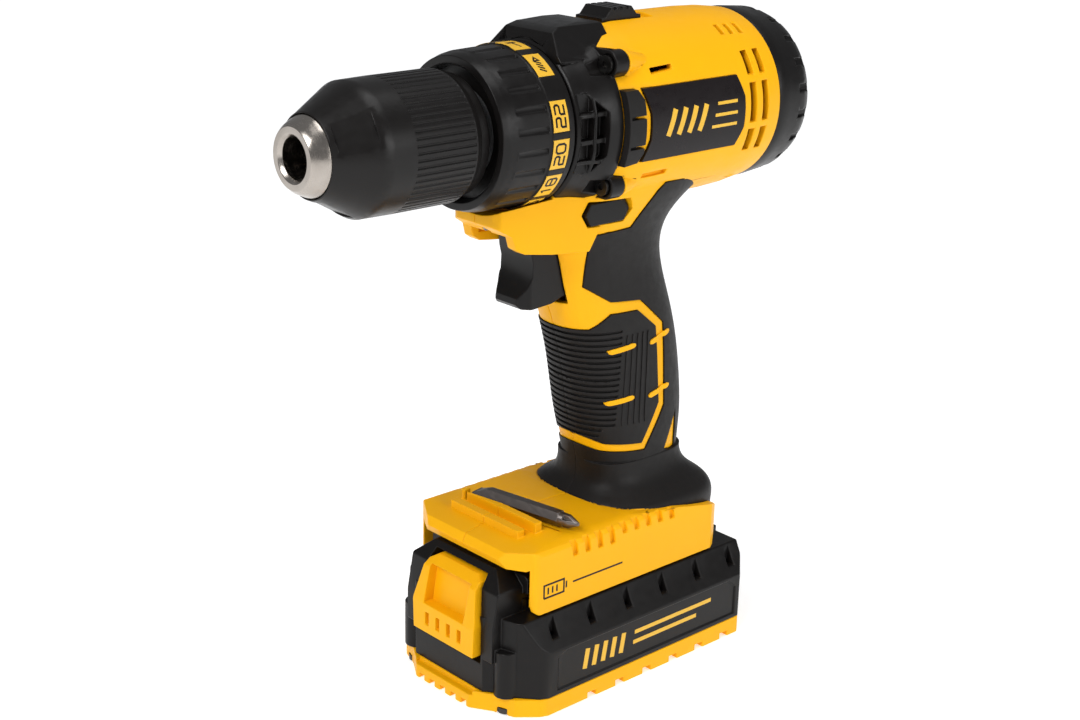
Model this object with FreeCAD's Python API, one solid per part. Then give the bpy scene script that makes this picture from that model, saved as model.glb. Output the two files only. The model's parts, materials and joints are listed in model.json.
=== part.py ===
import FreeCAD, Part
import math
import os

# Cordless hammer drill with a slide-on battery, millimetres.
# +X is the drilling direction, +Y the left side, +Z up. The origin is on the
# bottom plane of the battery, in the middle plane of the drill.
V = FreeCAD.Vector
os.makedirs("parts", exist_ok=True)

# Overall sizes
axis_height = 207.0
barrel_radius = 33.5
nose_front = 130.0
cap_rear = -84.0
battery_width = 76.0
foot_width = 64.0
wall = 2.6
# Clearances
body_gap = 0.3
run_gap = 0.05
tooth_gap = 0.15
overmould_proud = 0.5
overmould_depth = 1.6

# Gear train: three planetary stages of the same tooth counts
gear_module = 0.7
sun_teeth = 16
planet_teeth = 14
ring_teeth = 44
planet_count = 3
pressure_angle = math.radians(25)
addendum = 0.8 * gear_module
dedendum = 1.1 * gear_module
ring_outer_radius = 19.0
carrier_radius = 13.6
planet_pin_radius = 1.5
sun_radius = gear_module * sun_teeth / 2
planet_radius = gear_module * planet_teeth / 2
ring_radius = gear_module * ring_teeth / 2
planet_orbit = sun_radius + planet_radius

# Gearcase and clutch
gearcase_outer = 20.5
gearcase_bore = ring_outer_radius + run_gap
cover_bore = 24.0
cover_bottom = 183.4
nose_tube_radius = 15.5
nose_tube_bore = 11.25
nose_tube_front = 62.0
pin_circle = 17.3
clutch_pin_radius = 1.2
clutch_pin_count = 6
spring_wire = 1.1
spring_radius = 18.6
spring_coils = 4
nut_rear = 46.0
nut_width = 5.0
nut_lugs = 3
shift_travel = 4.0

# Collar
collar_rear = 36.0
collar_front = 66.0
collar_radius = 28.0
collar_bore = 23.2
flute_count = 24
label_step = 26.4
first_label_angle = 15.5
label_numbers = 11
symbol_angles = (55.0, 83.5)
label_width = 6.9
label_arc = 10.3
label_rear = 39.2
label_thickness = 0.3

# Chuck
chuck_rear = 72.0
chuck_body_radius = 17.0
socket_radius = 6.75
jaw_radius = 3.3
jaw_angle = math.radians(15)
jaw_count = 3
jaw_travel = 23.5
jaw_length = 30.0
jaw_closed_front = 127.0
jaw_closed_face = 0.75
jaw_line_x = 124.0
jaw_line_radius = 2.6
sleeve_radius = 22.3
sleeve_ribs = 60
spindle_thread_radius = 6.35

# Motor
can_radius = 18.4
can_wall = 1.2
can_front = -10.0
can_rear = -66.0
shaft_radius = 2.5
core_radius = 15.0
core_slots = 5

# Battery
cell_radius = 9.0
cell_length = 65.0
cell_count = 5
cell_pitch = 18.6
cell_height = 19.0
cell_middle = -0.4
tray_height = 7.0
case_top = 34.0
battery_front = 66.0
battery_rear = -54.0
tower_top = 51.0
foot_bottom = 37.5
foot_top = 63.5
trigger_half_width = 8.6
trigger_travel = 7.0
direction_travel = 3.0
screw_seat_radius = 3.3


def box(x0, x1, y0, y1, z0, z1):
    return Part.makeBox(x1 - x0, y1 - y0, z1 - z0, V(x0, y0, z0))


def rod_x(radius, x0, x1, y=0.0, z=axis_height):
    return Part.makeCylinder(radius, x1 - x0, V(x0, y, z), V(1, 0, 0))


def rod_y(radius, y0, y1, x, z):
    return Part.makeCylinder(radius, y1 - y0, V(x, y0, z), V(0, 1, 0))


def rod_z(radius, z0, z1, x, y):
    return Part.makeCylinder(radius, z1 - z0, V(x, y, z0), V(0, 0, 1))


def tube_x(outer, inner, x0, x1, y=0.0, z=axis_height):
    return rod_x(outer, x0, x1, y, z).cut(rod_x(inner, x0 - 1, x1 + 1, y, z))


def face_of(points):
    return Part.Face(Part.makePolygon(points + [points[0]]))


def prism_y(outline, y0, y1):
    face = face_of([V(x, y0, z) for x, z in outline])
    return face.extrude(V(0, y1 - y0, 0))


def prism_z(outline, z0, z1):
    face = face_of([V(x, y, z0) for x, y in outline])
    return face.extrude(V(0, 0, z1 - z0))


def prism_x(outline, x0, x1):
    face = face_of([V(x0, y, z) for y, z in outline])
    return face.extrude(V(x1 - x0, 0, 0))


def both_sides(half):
    # Closes an outline given for +Y only by mirroring it.
    return half + [(x, -y) for x, y in reversed(half) if y > 0]


def turned(profile):
    # A profile of (x, radius) pairs turned about the spindle axis.
    face = face_of([V(x, 0, axis_height + r) for x, r in profile])
    return face.revolve(V(0, 0, axis_height), V(1, 0, 0), 360)


def about_axis(shape, degrees):
    copy = shape.copy()
    copy.rotate(V(0, 0, axis_height), V(1, 0, 0), degrees)
    return copy


def mirrored(shape):
    return shape.mirror(V(0, 0, 0), V(0, 1, 0))


def fused(shapes):
    result = shapes[0]
    if len(shapes) > 1:
        result = result.fuse(shapes[1:])
    return result.removeSplitter()


def ring_of(shape, count, start=0.0):
    return [about_axis(shape, start + 360.0 * i / count) for i in range(count)]


def write(name, shape):
    shape.exportStep("parts/" + name + ".step")


def group(shapes):
    return Part.Compound(shapes)


# ---------------------------------------------------------------- gears

def involute_angle(radius, base):
    swing = math.sqrt(max((radius / base) ** 2 - 1, 0.0))
    return swing - math.atan(swing)


def tooth_outline(teeth, inner, outer, half_thickness):
    # Polygon points (angle, radius) of one gear, flat flanks between the
    # points that follow the involute.
    pitch = gear_module * teeth / 2
    base = pitch * math.cos(pressure_angle)
    at_pitch = involute_angle(pitch, base)
    radii = [inner, max(base, inner + 0.05), (base + pitch) / 2 + 0.15, pitch, outer]
    radii = sorted(set(r for r in radii if inner <= r <= outer))
    points = []
    for i in range(teeth):
        centre = 2 * math.pi * i / teeth
        flank = []
        for radius in radii:
            lean = at_pitch - involute_angle(max(radius, base), base)
            flank.append((half_thickness / pitch + lean, radius))
        points += [(centre - a, r) for a, r in flank]
        points += [(centre + a, r) for a, r in reversed(flank)]
    return points


def gear_prism(points, x0, x1, y=0.0, z=axis_height, turn=0.0):
    corners = []
    for angle, radius in points:
        a = angle + turn
        corners.append(V(x0, y + radius * math.cos(a), z + radius * math.sin(a)))
    return face_of(corners).extrude(V(x1 - x0, 0, 0))


flank_thickness = math.pi * gear_module / 4 - tooth_gap / 2


def sun_gear(x0, x1):
    points = tooth_outline(sun_teeth, sun_radius - dedendum, sun_radius + addendum, flank_thickness)
    return gear_prism(points, x0, x1)


def planet_place(index):
    angle = 2 * math.pi * index / planet_count
    return planet_orbit * math.cos(angle), axis_height + planet_orbit * math.sin(angle)


def planet_gear(index, x0, x1):
    y, z = planet_place(index)
    angle = 2 * math.pi * index / planet_count
    step = 2 * math.pi / ring_teeth
    offset = round(angle / step) * step - angle
    tooth = math.pi / planet_teeth
    turn = angle + offset * ring_teeth / planet_teeth + tooth
    points = tooth_outline(planet_teeth, planet_radius - dedendum,
                           planet_radius + addendum, flank_thickness)
    gear = gear_prism(points, x0, x1, y, z, turn)
    return gear.cut(rod_x(planet_pin_radius + run_gap, x0 - 1, x1 + 1, y, z))


def ring_gear(x0, x1):
    half_space = math.pi * gear_module / 4 + tooth_gap / 2
    points = tooth_outline(ring_teeth, ring_radius - addendum, ring_radius + dedendum, half_space)
    space = gear_prism(points, x0 - 1, x1 + 1, turn=math.pi / ring_teeth)
    return rod_x(ring_outer_radius, x0, x1).cut(space)


def carrier(plate_x0, plate_x1, pin_x0):
    # A plate with three planet pins standing out of its rear face.
    shapes = [rod_x(carrier_radius, plate_x0, plate_x1)]
    for i in range(planet_count):
        y, z = planet_place(i)
        shapes.append(rod_x(planet_pin_radius, pin_x0, plate_x0 + 0.5, y, z))
    return shapes


stage_one = (-6.0, -1.6)
stage_two = (4.0, 9.4)
stage_three = (14.0, 22.8)
plate_one = (-1.0, 1.0)
plate_two = (10.2, 12.5)
plate_three = (23.6, 26.8)

write("ring_gear_1", ring_gear(-7.8, -1.4))
ring_two_rear = 3.6
ring_two_front = 11.0
groove_rear = 6.0
groove_front = 8.6
ring_two = ring_gear(ring_two_rear, ring_two_front)
ring_two = ring_two.cut(tube_x(ring_outer_radius + 1, ring_outer_radius - 1.1, groove_rear, groove_front))
write("ring_gear_2", ring_two)
ring_three = ring_gear(12.9, 25.0)
for bump in ring_of(rod_x(1.0, 24.4, 25.0, pin_circle, axis_height), clutch_pin_count, 30.0):
    ring_three = ring_three.cut(bump)
write("ring_gear_3", ring_three)

write("carrier_1", fused(carrier(plate_one[0], plate_one[1], -6.4) + [sun_gear(0.8, 9.8)]))
write("carrier_2", fused(carrier(plate_two[0], plate_two[1], 3.6) + [sun_gear(12.3, 23.2)]))
for i in range(planet_count):
    name = "abc"[i]
    write("planet_1" + name, planet_gear(i, stage_one[0], stage_one[1]))
    write("planet_2" + name, planet_gear(i, stage_two[0], stage_two[1]))
    write("planet_3" + name, planet_gear(i, stage_three[0], stage_three[1]))

# ---------------------------------------------------------------- spindle and chuck

spindle = fused(carrier(plate_three[0], plate_three[1], 13.5) + [turned([
    (26.3, 0), (26.3, 9.5), (31.0, 9.5), (31.0, 8.0), (50.0, 8.0), (50.0, 7.5), (68.0, 7.5),
    (68.0, 10.0), (chuck_rear, 10.0), (chuck_rear, spindle_thread_radius),
    (88.0, spindle_thread_radius), (88.0, 0)])])
screw_bore = rod_x(3.0, 74.0, 90.0)
write("spindle", spindle.cut(screw_bore))
screw_head_front = 92.4
chuck_screw = rod_x(2.95, 76.0, 89.0).fuse(rod_x(5.2, 88.6, screw_head_front)).removeSplitter()
chuck_screw = chuck_screw.cut(box(90.6, 94, -4, 4, axis_height - 0.6, axis_height + 0.6))
chuck_screw = chuck_screw.cut(box(90.6, 94, -0.6, 0.6, axis_height - 4, axis_height + 4))
write("chuck_screw", chuck_screw)


def jaw_centre(x):
    return jaw_line_radius + (jaw_line_x - x) * math.tan(jaw_angle)


jaw_direction = V(math.cos(jaw_angle), 0, -math.sin(jaw_angle))


def jaw_cylinder(radius, x0, length):
    start = V(x0, 0, axis_height + jaw_centre(x0))
    return Part.makeCylinder(radius, length, start, jaw_direction)


retreat_x = jaw_travel * math.cos(jaw_angle)
retreat_r = jaw_travel * math.sin(jaw_angle)
jaw_tip_x = jaw_closed_front - retreat_x
jaw_face = jaw_closed_face + retreat_r
jaw_tail_x = jaw_tip_x - jaw_length * math.cos(jaw_angle)
jaw = jaw_cylinder(jaw_radius, jaw_tail_x, jaw_length + 3)
jaw = jaw.cut(box(60, jaw_tip_x + 9, -9, 9, axis_height - 20, axis_height + jaw_face))
jaw = jaw.cut(box(jaw_tip_x, jaw_tip_x + 20, -9, 9, axis_height - 20, axis_height + 30))
# Thread teeth on the outer side, where the nut runs
nut_x0 = 92.0
nut_x1 = 100.0
write_jaws = ring_of(jaw, jaw_count)
for i in range(jaw_count):
    write("jaw_" + str(i + 1), write_jaws[i])

jaw_hole = jaw_cylinder(jaw_radius + run_gap, 70.0, 70.0)
chuck_body = turned([
    (chuck_rear, 0), (chuck_rear, chuck_body_radius), (106.0, chuck_body_radius),
    (111.0, 16.0), (124.6, 13.2), (nose_front - 1.6, 11.4), (nose_front, 10.1), (nose_front, 0)])
chuck_body = chuck_body.cut(rod_x(spindle_thread_radius + run_gap, chuck_rear - 1, 88.0))
chuck_body = chuck_body.cut(rod_x(3.1, 87.0, 90.0))
chuck_body = chuck_body.cut(turned([
    (88.6, 0), (88.6, 5.3), (92.4, 5.3), (94.0, socket_radius), (nose_front - 1.2, socket_radius),
    (nose_front + 1, socket_radius + 2.2), (nose_front + 1, 0)]))
nut_seat = 11.6
chuck_body = chuck_body.cut(tube_x(30, nut_seat, nut_x0 - 0.2, nut_x1 + 0.2))
for hole in ring_of(jaw_hole, jaw_count):
    chuck_body = chuck_body.cut(hole)
write("chuck_body", chuck_body)


def nut_bore(x):
    return jaw_centre(x) + (jaw_radius + 0.12) / math.cos(jaw_angle)


nut_outer = 18.6
write("chuck_nut", turned([
    (nut_x0, nut_bore(nut_x0)), (nut_x0, nut_outer), (nut_x1, nut_outer), (nut_x1, nut_bore(nut_x1))]))
sleeve = turned([
    (67.0, 18.0), (67.0, 20.0), (67.6, 20.6), (70.8, 20.6), (71.4, 21.4), (73.0, 21.8), (73.5, sleeve_radius),
    (98.5, sleeve_radius), (109.2, 22.1),
    (123.4, 14.3), (124.5, 13.9), (124.5, 13.4), (111.2, 16.2), (106.4, 17.25), (102.4, 17.25),
    (102.4, nut_outer), (92.0, nut_outer), (92.0, 19.6), (73.4, 19.6), (73.4, 18.0)])
rib_cut = rod_x(0.42, 74.2, 98.0, 0, axis_height + sleeve_radius + 0.05)
rib_cut.rotate(V(0, 0, axis_height), V(1, 0, 0), 180.0 / sleeve_ribs)
for groove in ring_of(rib_cut, sleeve_ribs):
    sleeve = sleeve.cut(groove)
facet = box(111.0, 124.0, -14, 14, 0, 6)
facet.rotate(V(111.0, 0, 0), V(0, 1, 0), math.degrees(math.atan2(7.8, 14.2)))
facet.translate(V(0, 0, axis_height + 20.3))
for flat in ring_of(facet, 3, 60.0):
    sleeve = sleeve.cut(flat)
write("chuck_sleeve", sleeve)

# ---------------------------------------------------------------- gearcase and clutch

gearcase = fused([
    tube_x(gearcase_outer, gearcase_bore, can_front, 27.6),
    tube_x(gearcase_outer - 0.2, 7.6, can_front, -8.3),
    tube_x(gearcase_outer, nose_tube_bore, 27.5, 31.0),
    tube_x(nose_tube_radius, nose_tube_bore, 30.8, nose_tube_front),
    tube_x(cover_bore - 0.02, gearcase_outer - 0.5, 17.0, 19.6)])
for hole in ring_of(rod_x(clutch_pin_radius + run_gap, 27, 32, pin_circle, axis_height), clutch_pin_count):
    gearcase = gearcase.cut(hole)
for x in (38.0, 42.0, 48.0, 54.0):
    gearcase = gearcase.cut(tube_x(nose_tube_radius + 1, nose_tube_radius - 0.5, x, x + 1.2))
gearcase = gearcase.cut(box(1.0, 10.4, -1.6, 1.6, axis_height + 15, axis_height + 24))
write("gearcase", gearcase)

clutch_washer = [tube_x(21.6, nose_tube_radius + 0.25, 32.6, 34.0)]
clutch_washer += ring_of(rod_x(clutch_pin_radius, 25.1, 32.7, pin_circle, axis_height), clutch_pin_count)
write("clutch_washer", fused(clutch_washer))

spring_x0 = 34.0 + spring_wire + 0.05
spring_x1 = nut_rear - spring_wire - 0.05
spring_pitch = (spring_x1 - spring_x0) / spring_coils
helix = Part.makeHelix(spring_pitch, spring_x1 - spring_x0, spring_radius)
circle = Part.Wire(Part.makeCircle(spring_wire, V(spring_radius, 0, 0), V(0, 1, 0)))
spring = Part.Wire(helix).makePipeShell([circle], True, True)
spring.rotate(V(0, 0, 0), V(0, 1, 0), 90)
spring.translate(V(spring_x0, 0, axis_height))
write("clutch_spring", spring)

clutch_nut = tube_x(22.8, nose_tube_radius + 0.25, nut_rear, nut_rear + nut_width)
lug = box(nut_rear, nut_rear + nut_width, -2.2, 2.2, axis_height + 20, axis_height + 24.2)
clutch_nut = fused([clutch_nut] + ring_of(lug, nut_lugs, 10.0))
write("clutch_nut", clutch_nut)

collar = turned([
    (collar_rear, collar_bore), (collar_rear, collar_radius - 0.7), (collar_rear + 0.8, collar_radius),
    (46.0, collar_radius), (46.6, 27.4), (60.5, 27.0), (61.5, 26.6), (63.0, 26.6), (64.2, 26.2),
    (collar_front, 25.7), (collar_front, 23.2), (64.5, 22.2), (61.6, 22.2),
    (61.6, nose_tube_radius + 0.08), (58.5, nose_tube_radius + 0.08), (58.5, collar_bore)])
keyway = box(collar_rear - 1, 58.5, -2.5, 2.5, axis_height + 20, axis_height + 24.5)
for cut in ring_of(keyway, nut_lugs, 10.0):
    collar = collar.cut(cut)
flute = rod_x(1.5, 47.4, 60.2, 0, axis_height + 28.2)
for cut in ring_of(flute, flute_count, 7.5):
    collar = collar.cut(cut)


def label_shell(outer, inner, angle):
    piece = tube_x(outer, inner, label_rear, label_rear + label_width)
    keep = box(30, 50, 0, 40, axis_height - label_arc / 2, axis_height + label_arc / 2)
    return about_axis(piece.common(keep), angle)


label_angles = [first_label_angle - label_step * i for i in range(label_numbers)] + list(symbol_angles)
labels = []
for angle in label_angles:
    collar = collar.cut(label_shell(collar_radius + 1, collar_radius - label_thickness, angle))
    labels.append(label_shell(collar_radius + 0.02, collar_radius - label_thickness, angle))
write("torque_collar", collar)
write("collar_labels", group(labels))

# ---------------------------------------------------------------- motor

can = turned([
    (can_rear, can_radius - can_wall), (can_rear, can_radius), (can_front, can_radius),
    (can_front, 6.45), (can_front - can_wall, 6.45), (can_front - can_wall, can_radius - can_wall)])
for angle in (45, 135, 225, 315):
    slot = box(-18.0, -13.2, -3.0, 3.0, axis_height + 14, axis_height + 20)
    can = can.cut(about_axis(slot, angle))
write("motor_can", can)
magnet = tube_x(can_radius - can_wall - 0.05, 15.5, -54.0, -18.0)
magnet = magnet.common(box(-60, -10, -20, 20, axis_height + 5.2, axis_height + 20))
write("motor_magnets", group([magnet, about_axis(magnet, 180)]))

core = rod_x(core_radius, -52.0, -20.0).cut(rod_x(shaft_radius, -53, -19))
slot = fused([
    box(-53, -19, -0.9, 0.9, axis_height + 12.5, axis_height + 16),
    box(-53, -19, -3.4, 3.4, axis_height + 7.0, axis_height + 13.0)])
for cut in ring_of(slot, core_slots):
    core = core.cut(cut)
write("rotor_core", core)
coil = fused([
    box(-56.0, -16.0, -3.1, 3.1, axis_height + 7.3, axis_height + 12.4)])
coil_end = fused([tube_x(12.8, 3.6, -56.6, -52.2), tube_x(12.8, 3.6, -19.8, -15.6)])
windings = fused([coil_end] + ring_of(coil, core_slots))
write("rotor_windings", windings)
commutator = tube_x(6.5, shaft_radius, -66.4, -58.4)
commutator = commutator.fuse(tube_x(7.4, shaft_radius, -58.6, -57.0)).removeSplitter()
for cut in ring_of(box(-67, -58.8, -0.25, 0.25, axis_height + 5.6, axis_height + 8), 10):
    commutator = commutator.cut(cut)
write("commutator", commutator)
blade = box(-15.0, -12.0, -0.6, 0.6, axis_height + 4.6, axis_height + 13.6)
fan = fused([tube_x(5.0, shaft_radius, -15.0, -12.0), tube_x(13.8, shaft_radius, -13.0, -12.0)]
            + ring_of(blade, 9))
write("motor_fan", fan)
shaft = fused([rod_x(shaft_radius, -75.5, -7.2), sun_gear(-7.4, -1.5)])
write("rotor_shaft", shaft)
front_bearing = tube_x(6.4, shaft_radius + run_gap, -11.6, -8.6)
rear_bearing = tube_x(5.5, shaft_radius + run_gap, -73.8, -70.0)
spindle_bearing = tube_x(nose_tube_bore - run_gap, 7.5 + run_gap, 53.0, 61.5)
write("bearings", group([front_bearing, rear_bearing, spindle_bearing]))

brush_holder = fused([
    tube_x(17.15, 8.6, -66.0, -62.6), tube_x(can_radius, 8.6, -68.0, -66.0),
    tube_x(9.6, 5.55, -73.8, -70.0), tube_x(12.0, 8.6, -70.2, -67.8)])
for side in (1, -1):
    y0, y1 = sorted((side * 6.7, side * 15.8))
    brush_holder = fused([brush_holder, box(-65.2, -60.4, y0, y1, axis_height - 2.4, axis_height + 2.4)])
write("brush_holder", brush_holder)

# ---------------------------------------------------------------- housing shells

def section(z, front, rear, half_width, grow, squareness=2.6):
    # One closed curve of the handle, a squarish oval at height z.
    count = 28
    middle = (front + rear) / 2
    half_depth = (front - rear) / 2 + grow
    half = half_width + grow
    points = []
    for i in range(count):
        a = 2 * math.pi * i / count
        c = math.cos(a)
        s = math.sin(a)
        x = middle + half_depth * math.copysign(abs(c) ** (2 / squareness), c)
        y = half * math.copysign(abs(s) ** (2 / squareness), s)
        points.append(V(x, y, z))
    curve = Part.BSplineCurve()
    curve.interpolate(points, PeriodicFlag=True)
    return Part.Wire(curve.toShape())


handle_sections = (
    (58.0, 2.0, -41.0, 17.4), (70.0, 3.0, -40.6, 17.5), (82.0, 5.5, -40.9, 17.5),
    (91.0, 8.0, -41.2, 18.0), (104.0, 11.0, -40.2, 18.0), (117.0, 13.6, -38.0, 18.0),
    (128.0, 16.8, -35.4, 17.7), (138.0, 20.5, -32.4, 17.0), (150.0, 25.0, -28.8, 16.2),
    (160.0, 27.5, -27.5, 16.8), (168.0, 31.0, -30.0, 18.6), (176.0, 34.0, -37.5, 21.6),
    (186.0, 35.0, -45.0, 25.4))


def handle(grow):
    wires = [section(z, f, r, w, grow) for z, f, r, w in handle_sections]
    return Part.makeLoft(wires, True, False)


skirt_sections = (
    (52.0, 9.5, -52.0, 29.8), (60.0, 9.5, -51.8, 29.4), (62.5, 9.0, -50.6, 28.0),
    (64.5, 7.6, -48.6, 25.0), (67.0, 5.6, -45.4, 21.4), (71.0, 4.4, -42.2, 18.8),
    (76.5, 4.6, -41.2, 17.9))
skirt = Part.makeLoft([section(z, f, r, w, 0, 3.2) for z, f, r, w in skirt_sections], True, False)
skirt_base = prism_y([(12, 62.9), (-4, 61.5), (-20, 58.6), (-40, 53.5), (-54, 50.5), (-54, 80), (12, 80)],
                     -40, 40)
skirt = skirt.common(skirt_base)

barrel_profile = [(19.0, 0), (19.0, 30.4), (12.0, 32.4), (2.0, barrel_radius), (-42.0, barrel_radius),
                  (-52.0, 33.1), (-62.4, 31.9), (-62.4, 0)]
barrel = turned(barrel_profile)
barrel_core = turned([(22.0, 0), (22.0, 30.4 - wall), (12.0, 32.4 - wall), (2.0, barrel_radius - wall),
                      (-42.0, barrel_radius - wall), (-52.0, 33.1 - wall), (-63.0, 31.9 - wall), (-63.0, 0)])
nose_side = [(56.0, 181.0), (56.0, 175.0), (50.2, 171.6), (48.8, 167.2), (45.5, 165.2), (35.0, 163.9),
             (20.0, 163.0), (10.0, 181.0), (10.0, 190.0), (56.0, 190.0)]
nose_plan = both_sides([(57.0, 0), (57.0, 7.0), (54.5, 12.0), (46.0, 14.6), (30.0, 18.0), (10.0, 21.0), (10.0, 0)])
nose = prism_y(nose_side, -25, 25).common(prism_z(nose_plan, 160, 190))
nose_core = box(12.0, 46.0, -10.5, 10.5, 168.5, 184.0)
foot_side = [(58.0, 54.0), (60.0, 57.5), (58.5, 60.6), (52.0, 62.0), (38.0, foot_top), (10.0, foot_top - 0.4),
             (-18.0, 60.2), (-40.0, 55.5), (-45.5, 52.5), (-42.0, foot_bottom), (51.0, foot_bottom),
             (53.0, 39.0)]
foot_plan = both_sides([(60.0, 0), (60.0, 19.4), (53.0, 31.0), (50.5, 32.0), (-38.0, 32.0), (-43.0, 29.0),
                        (-47.0, 21.0), (-47.0, 0)])
half_foot = foot_width / 2
foot_end = [(-half_foot, foot_bottom), (half_foot, foot_bottom), (half_foot, 60.2), (half_foot - 1.0, 61.6),
            (half_foot - 3.4, 62.6), (half_foot - 8, 64.5), (-half_foot + 8, 64.5), (-half_foot + 3.4, 62.6),
            (-half_foot + 1.0, 61.6), (-half_foot, 60.2)]
foot = prism_y(foot_side, -40, 40).common(prism_z(foot_plan, 30, 70)).common(prism_x(foot_end, -60, 70))
foot_core = prism_y([(70, 30), (70, 54.2), (54.5, 54.2), (50.0, 58.6), (6.0, 59.2), (-18.0, 56.6),
                     (-36.0, 53.0), (-39.5, 50.0), (-38.6, 30)], -half_foot + wall, half_foot - wall)
handle_core = handle(-wall - overmould_depth + 0.4).common(box(-60, 60, -40, 40, 50, 200))
handle_core = handle_core.common(prism_y([(-60, 40), (60, 40), (60, 180), (12, 200), (-60, 200)], -40, 40))

outer = fused([barrel, handle(0.0), nose, foot])

# Cover over the gearcase, seated against the housing
cover_outer = turned([(35.5, 0), (35.5, 27.6), (34.6, 28.5), (29.0, 29.4), (20.0, 31.4), (17.2, 31.4), (17.2, 0)])
hump_side = [(35.5, 229.4), (35.5, 232.0), (33.0, 238.6), (29.0, 240.2), (19.0, 240.9), (10.0, 240.6),
             (9.0, 240.0), (9.0, 229.4)]
hump_end = [(-19, 229), (-19, 230), (-10.5, 240.2), (-8.5, 241), (8.5, 241), (10.5, 240.2), (19, 230), (19, 229)]
hump = prism_y(hump_side, -20, 20).common(prism_x(hump_end, 0, 40))
ear_places = ((24.0, 228.7), (-24.0, 228.7), (24.0, 187.0), (-24.0, 187.0))
ears = []
for y, z in ear_places:
    outward = 1 if y > 0 else -1
    ears.append(rod_x(4.7, 13.0, 19.0, y, z))
    y0, y1 = sorted((outward * 16.0, outward * 24.0))
    ears.append(box(17.2, 19.0, y0, y1, z - 4.7, z + 4.7))
cover = fused([cover_outer, hump] + ears)
cover = cover.common(box(0, 40, -40, 40, cover_bottom - 1.0, 260))
cover_clear = cover.copy()
cover = cover.cut(rod_x(cover_bore, 17.0, 33.0)).cut(rod_x(22.4, 16.0, 36.0))
cover = cover.cut(box(8.0, 33, -3.2, 3.2, axis_height + 20, axis_height + 26))
pocket = prism_y([(34.2, 221.0), (31.0, 220.6), (23.0, 214.0), (23.0, 199.0), (28.0, 193.5), (34.2, 193.5)], 25.6, 40)
for z in (212.5, 203.5, 196.5):
    pocket = pocket.cut(box(20, 36, 20, 28.4, z, z + 1.6))
pocket = pocket.cut(box(27.4, 28.6, 20, 29.0, 190, 222))
cover = cover.cut(pocket).cut(mirrored(pocket))
for y, z in ear_places:
    cover = cover.cut(rod_x(1.6, 10, 24, y, z)).cut(rod_x(3.3, 18.2, 26, y, z))
write("gearcase_cover", cover)
cover_screws = []
for y, z in ear_places:
    head = rod_x(3.1, 18.2, 20.2, y, z).cut(rod_x(1.2, 19.2, 21.0, y, z))
    cover_screws.append(fused([head, rod_x(1.5, 4.5, 18.4, y, z)]))
write("gearcase_screws", group(cover_screws))

ear_bosses = []
for y, z in ear_places:
    ear_bosses.append(Part.makeCone(0.8, 4.6, 21.0, V(-8.0, y * 0.93, axis_height + (z - axis_height) * 0.93),
                                    V(21.0, y * 0.07, (z - axis_height) * 0.07)))
outer = fused([outer] + ear_bosses)
outer = outer.cut(cover_clear)
outer = outer.cut(rod_x(collar_radius + 0.7, 35.5, 80.0))
# The cover's hollow reaches back over the gearcase, so the shell stops behind it
outer = outer.cut(rod_x(cover_bore + 0.2, 17.0, 36.0))
for y, z in ear_places:
    outer = outer.cut(rod_x(1.5, 4.0, 14.0, y, z))

# Regions of soft grip on each side, seen from the side
lower_panel = [(40, 131.0), (12.5, 131.3), (5.2, 136.5), (-7.6, 136.0), (-17.0, 128.3), (-19.9, 98.0),
               (-12.3, 83.2), (2.5, 84.8), (9.0, 88.0), (40, 92.0)]
upper_panel = [(16.6, 167.6), (16.7, 148.2), (5.4, 141.2), (-9.2, 139.6), (-21.6, 128.8), (-23.2, 96.2),
               (-14.2, 80.0), (3.0, 81.6), (9.5, 84.4), (40, 88.0), (40, 60), (-70, 60), (-70, 175.5),
               (-33.0, 175.5), (-36.0, 183.0), (-47.0, 190.6), (-17.0, 190.6), (-8.4, 181.6), (-0.6, 168.4)]
small_window = [(-25.2, 77.4), (-32.4, 75.6), (-31.0, 92.0)]
upper_window = [(-11.0, 184.4), (-17.4, 188.4), (-31.0, 188.2), (-26.0, 184.2)]
grip_skin = handle(overmould_proud).cut(handle(-overmould_depth))
side_panel = prism_y(upper_panel, 0, 60).cut(prism_y(small_window, -1, 60)).cut(prism_y(upper_window, -1, 60))
grip_region = fused([prism_y(lower_panel, 0, 60), side_panel]).common(box(-70, 60, 0, 40, 66, 192))
grip = grip_skin.common(grip_region)
web = rod_x(barrel_radius + overmould_proud, -50, 30).cut(rod_x(barrel_radius - overmould_depth, -51, 31))
web_panel = prism_y([(-8.4, 181.6), (-17.0, 190.6), (-47.0, 190.6), (-36.0, 183.0)], 10, 60)
grip = grip.cut(box(-70, -33.0, 0, 60, 184.0, 200))
skirt_half = skirt.common(box(-70, 60, 0, 60, 40, 90))
grip = fused([grip, skirt_half.cut(handle(-overmould_depth))])
# Only the moulded pads, without the film left where the panel's edge runs off the barrel
grip = fused([pad for pad in grip.Solids if pad.Volume > 100])
patch_outline = [(21.4, 217.6), (17.6, 220.4), (11.2, 220.4), (9.0, 217.0), (9.0, 199.0), (11.0, 195.4), (20.6, 194.2),
                 (22.0, 198.0)]
grip_patch = rod_x(barrel_radius + 0.7, 5, 17.0).cut(rod_x(30.9, 4, 24))
grip_patch = grip_patch.common(prism_y(patch_outline, 5, 60))
for z in (200.6, 210.8):
    grip_patch = grip_patch.cut(box(9.0, 16.0, barrel_radius - 1.6, 40, z, z + 1.1))
grip_cut = grip.copy()
# Rib grooves across the front half of the grip and down the rear half
rib_pitch = 2.3
for i in range(19):
    z = 87.6 + rib_pitch * i
    if z < 130.0:
        front = 0.0 if z > 90 else 4.0
        grip = grip.cut(box(front, 40, -1, 40, z, z + 0.9).cut(handle(-0.35)))
grip_left = [grip, grip_patch]

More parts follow.
